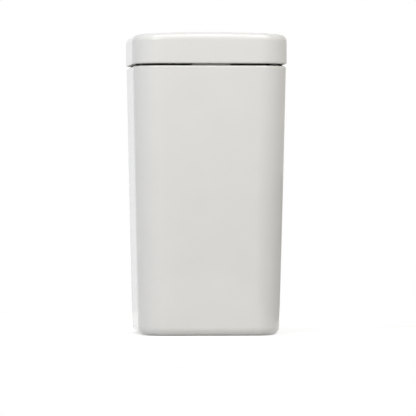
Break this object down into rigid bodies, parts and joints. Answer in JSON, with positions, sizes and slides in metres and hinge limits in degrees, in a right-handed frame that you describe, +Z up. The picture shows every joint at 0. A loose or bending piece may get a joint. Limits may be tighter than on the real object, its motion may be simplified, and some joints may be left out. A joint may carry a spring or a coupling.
{
  "type": "toilet cistern",
  "caption": "White glazed china toilet cistern with a crowned lift-off lid, push-button flush valve, float fill valve and bolted coupling to the pan.",
  "frame": {"origin": "on the surface that the foot stands on, under the middle of the lid and on the axis of the outlet", "axes": "+Z up, +Y towards the wall behind the cistern, -Y the front, +X the right side seen from the front"},
  "size_m": [0.2, 0.18, 0.3908],
  "materials": {
    "china": "smooth white glaze on vitreous china",
    "chrome": "polished chrome plating on plastic",
    "white_plastic": "moulded white plastic",
    "pale_plastic": "moulded pale blue plastic",
    "blue_plastic": "moulded blue plastic",
    "black_rubber": "moulded black rubber",
    "red_silicone": "moulded red silicone",
    "pad_rubber": "soft grey pad",
    "foam": "closed-cell foam",
    "steel": "drawn stainless steel wire and rod",
    "brass": "plain brass"
  },
  "bodies": {
    "tank": {"cistern_body": "china", "lid_pads": "pad_rubber", "valve_base": "white_plastic", "outlet_washer": "black_rubber", "outlet_nut": "white_plastic", "coupling_foam": "foam", "valve_tower": "white_plastic", "valve_head": "white_plastic", "rocker_pin": "steel", "fill_valve": "white_plastic", "inlet_washer": "black_rubber", "inlet_nut": "white_plastic", "fill_cap": "blue_plastic", "fill_diaphragm": "black_rubber", "arm_pin": "steel", "coupling_bolts": "brass", "cone_washers": "black_rubber", "plate_washers": "brass", "coupling_nuts": "brass"},
    "lid": {"cistern_lid": "china", "button_bezel": "chrome", "button_gasket": "black_rubber", "button_nut": "white_plastic", "button_guide": "white_plastic", "full_spring": "steel", "half_spring": "steel"},
    "full_button": {"full_button": "chrome", "full_rod": "white_plastic"},
    "half_button": {"half_button": "chrome", "half_rod": "white_plastic"},
    "full_rocker": {"full_rocker": "blue_plastic"},
    "half_rocker": {"half_rocker": "pale_plastic"},
    "yoke": {"half_yoke": "pale_plastic"},
    "stem": {"overflow_stem": "white_plastic", "flush_seal": "red_silicone", "seal_retainer": "white_plastic", "stem_float": "pale_plastic"},
    "float": {"float_cup": "pale_plastic", "float_link": "white_plastic"},
    "float_arm": {"float_arm": "blue_plastic"}
  },
  "joints": [
    {"name": "lid_lift", "type": "slide", "parent": "tank", "child": "lid", "axis": [0, 0, 1], "range_m": [0, 0.12]},
    {"name": "full_button_press", "type": "slide", "parent": "lid", "child": "full_button", "axis": [0, 0, -1], "range_m": [0, 0.007], "stiffness_N_per_m": 400, "springref_m": -0.005, "deforming": ["full_spring"]},
    {"name": "half_button_press", "type": "slide", "parent": "lid", "child": "half_button", "axis": [0, 0, -1], "range_m": [0, 0.007], "stiffness_N_per_m": 400, "springref_m": -0.005, "deforming": ["half_spring"]},
    {"name": "full_rocker_turn", "type": "hinge", "parent": "tank", "child": "full_rocker", "pos_m": [-0.0085, 0.0205, 0.3], "axis": [1, 0, 0], "range_deg": [0, 19.4]},
    {"name": "half_rocker_turn", "type": "hinge", "parent": "tank", "child": "half_rocker", "pos_m": [0.0138, 0.0205, 0.3], "axis": [1, 0, 0], "range_deg": [0, 19.4]},
    {"name": "yoke_lift", "type": "slide", "parent": "tank", "child": "yoke", "axis": [0, 0, 1], "range_m": [0, 0.0102]},
    {"name": "stem_lift", "type": "slide", "parent": "yoke", "child": "stem", "axis": [0, 0, 1], "range_m": [0, 0.0102]},
    {"name": "float_rise", "type": "slide", "parent": "tank", "child": "float", "axis": [0, 0, 1], "range_m": [0, 0.01]},
    {"name": "float_arm_turn", "type": "hinge", "parent": "tank", "child": "float_arm", "pos_m": [-0.05, 0.059, 0.263], "axis": [-1, 0, 0], "range_deg": [0, 14.4]}
  ],
  "couplings": [
    {"joint": "full_rocker_turn", "follows": "full_button_press", "rad_per_m": 48.315},
    {"joint": "stem_lift", "follows": "full_button_press", "ratio": 1.4439},
    {"joint": "half_rocker_turn", "follows": "half_button_press", "rad_per_m": 48.315},
    {"joint": "yoke_lift", "follows": "half_button_press", "ratio": 1.4439},
    {"joint": "float_arm_turn", "follows": "float_rise", "rad_per_m": 24.995}
  ]
}
